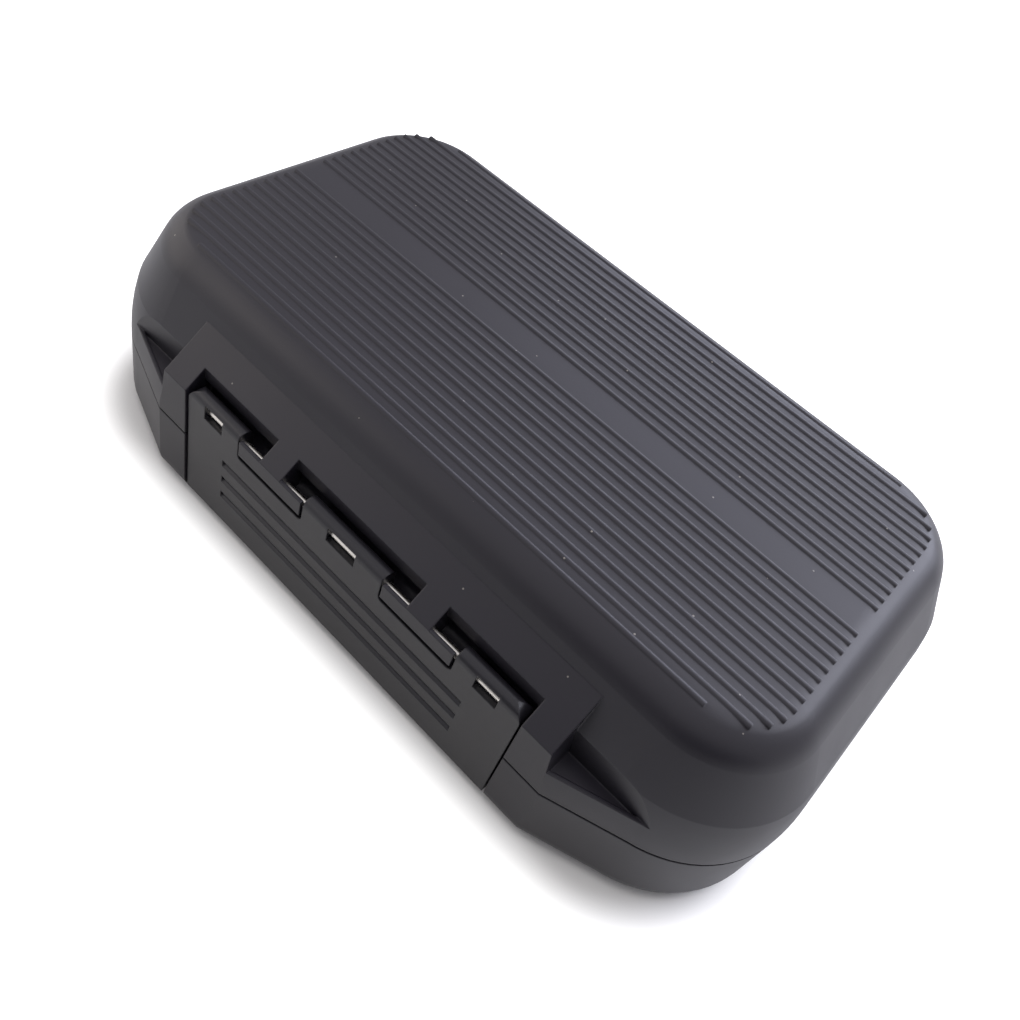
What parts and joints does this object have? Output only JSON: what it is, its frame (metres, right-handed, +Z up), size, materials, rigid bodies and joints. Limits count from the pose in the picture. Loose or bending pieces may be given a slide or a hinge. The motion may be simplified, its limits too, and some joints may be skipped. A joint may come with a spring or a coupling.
{
  "type": "fly box",
  "caption": "Hinged clamshell fly box with a domed ridged lid, a pinned front latch flap, a rim seal and rows of slit foam inside.",
  "frame": {"origin": "middle of the footprint, on the table", "axes": "+X along the hinge, +Y from the latch to the hinge, +Z up"},
  "size_m": [0.1274, 0.0804, 0.0341],
  "materials": {
    "shell": "satin moulded black ABS with a fine spark-eroded grain",
    "flap": "satin moulded black ABS, a little smoother than the shells",
    "pin": "drawn stainless steel wire",
    "seal": "moulded silicone rubber",
    "insert": "matt moulded plate",
    "foam": "closed-cell foam with cut slits"
  },
  "bodies": {
    "base": {"base_shell": "shell", "rim_seal": "seal", "hinge_pin": "pin", "base_insert": "insert", "base_foam_1": "foam", "base_foam_2": "foam", "base_foam_3": "foam", "base_foam_4": "foam", "base_foam_5": "foam", "base_foam_6": "foam"},
    "lid": {"lid_shell": "shell", "latch_pin": "pin", "lid_insert": "insert", "lid_foam_1": "foam", "lid_foam_2": "foam", "lid_foam_3": "foam", "lid_foam_4": "foam", "lid_foam_5": "foam", "lid_foam_6": "foam"},
    "latch": {"latch_flap": "flap"}
  },
  "joints": [
    {"name": "lid_hinge", "type": "hinge", "parent": "base", "child": "lid", "pos_m": [0, 0.0378, 0.0136], "axis": [-1, 0, 0], "range_deg": [0, 150]},
    {"name": "latch_swing", "type": "hinge", "parent": "lid", "child": "latch", "pos_m": [0, -0.0386, 0.021], "axis": [-1, 0, 0], "range_deg": [0, 100]}
  ]
}
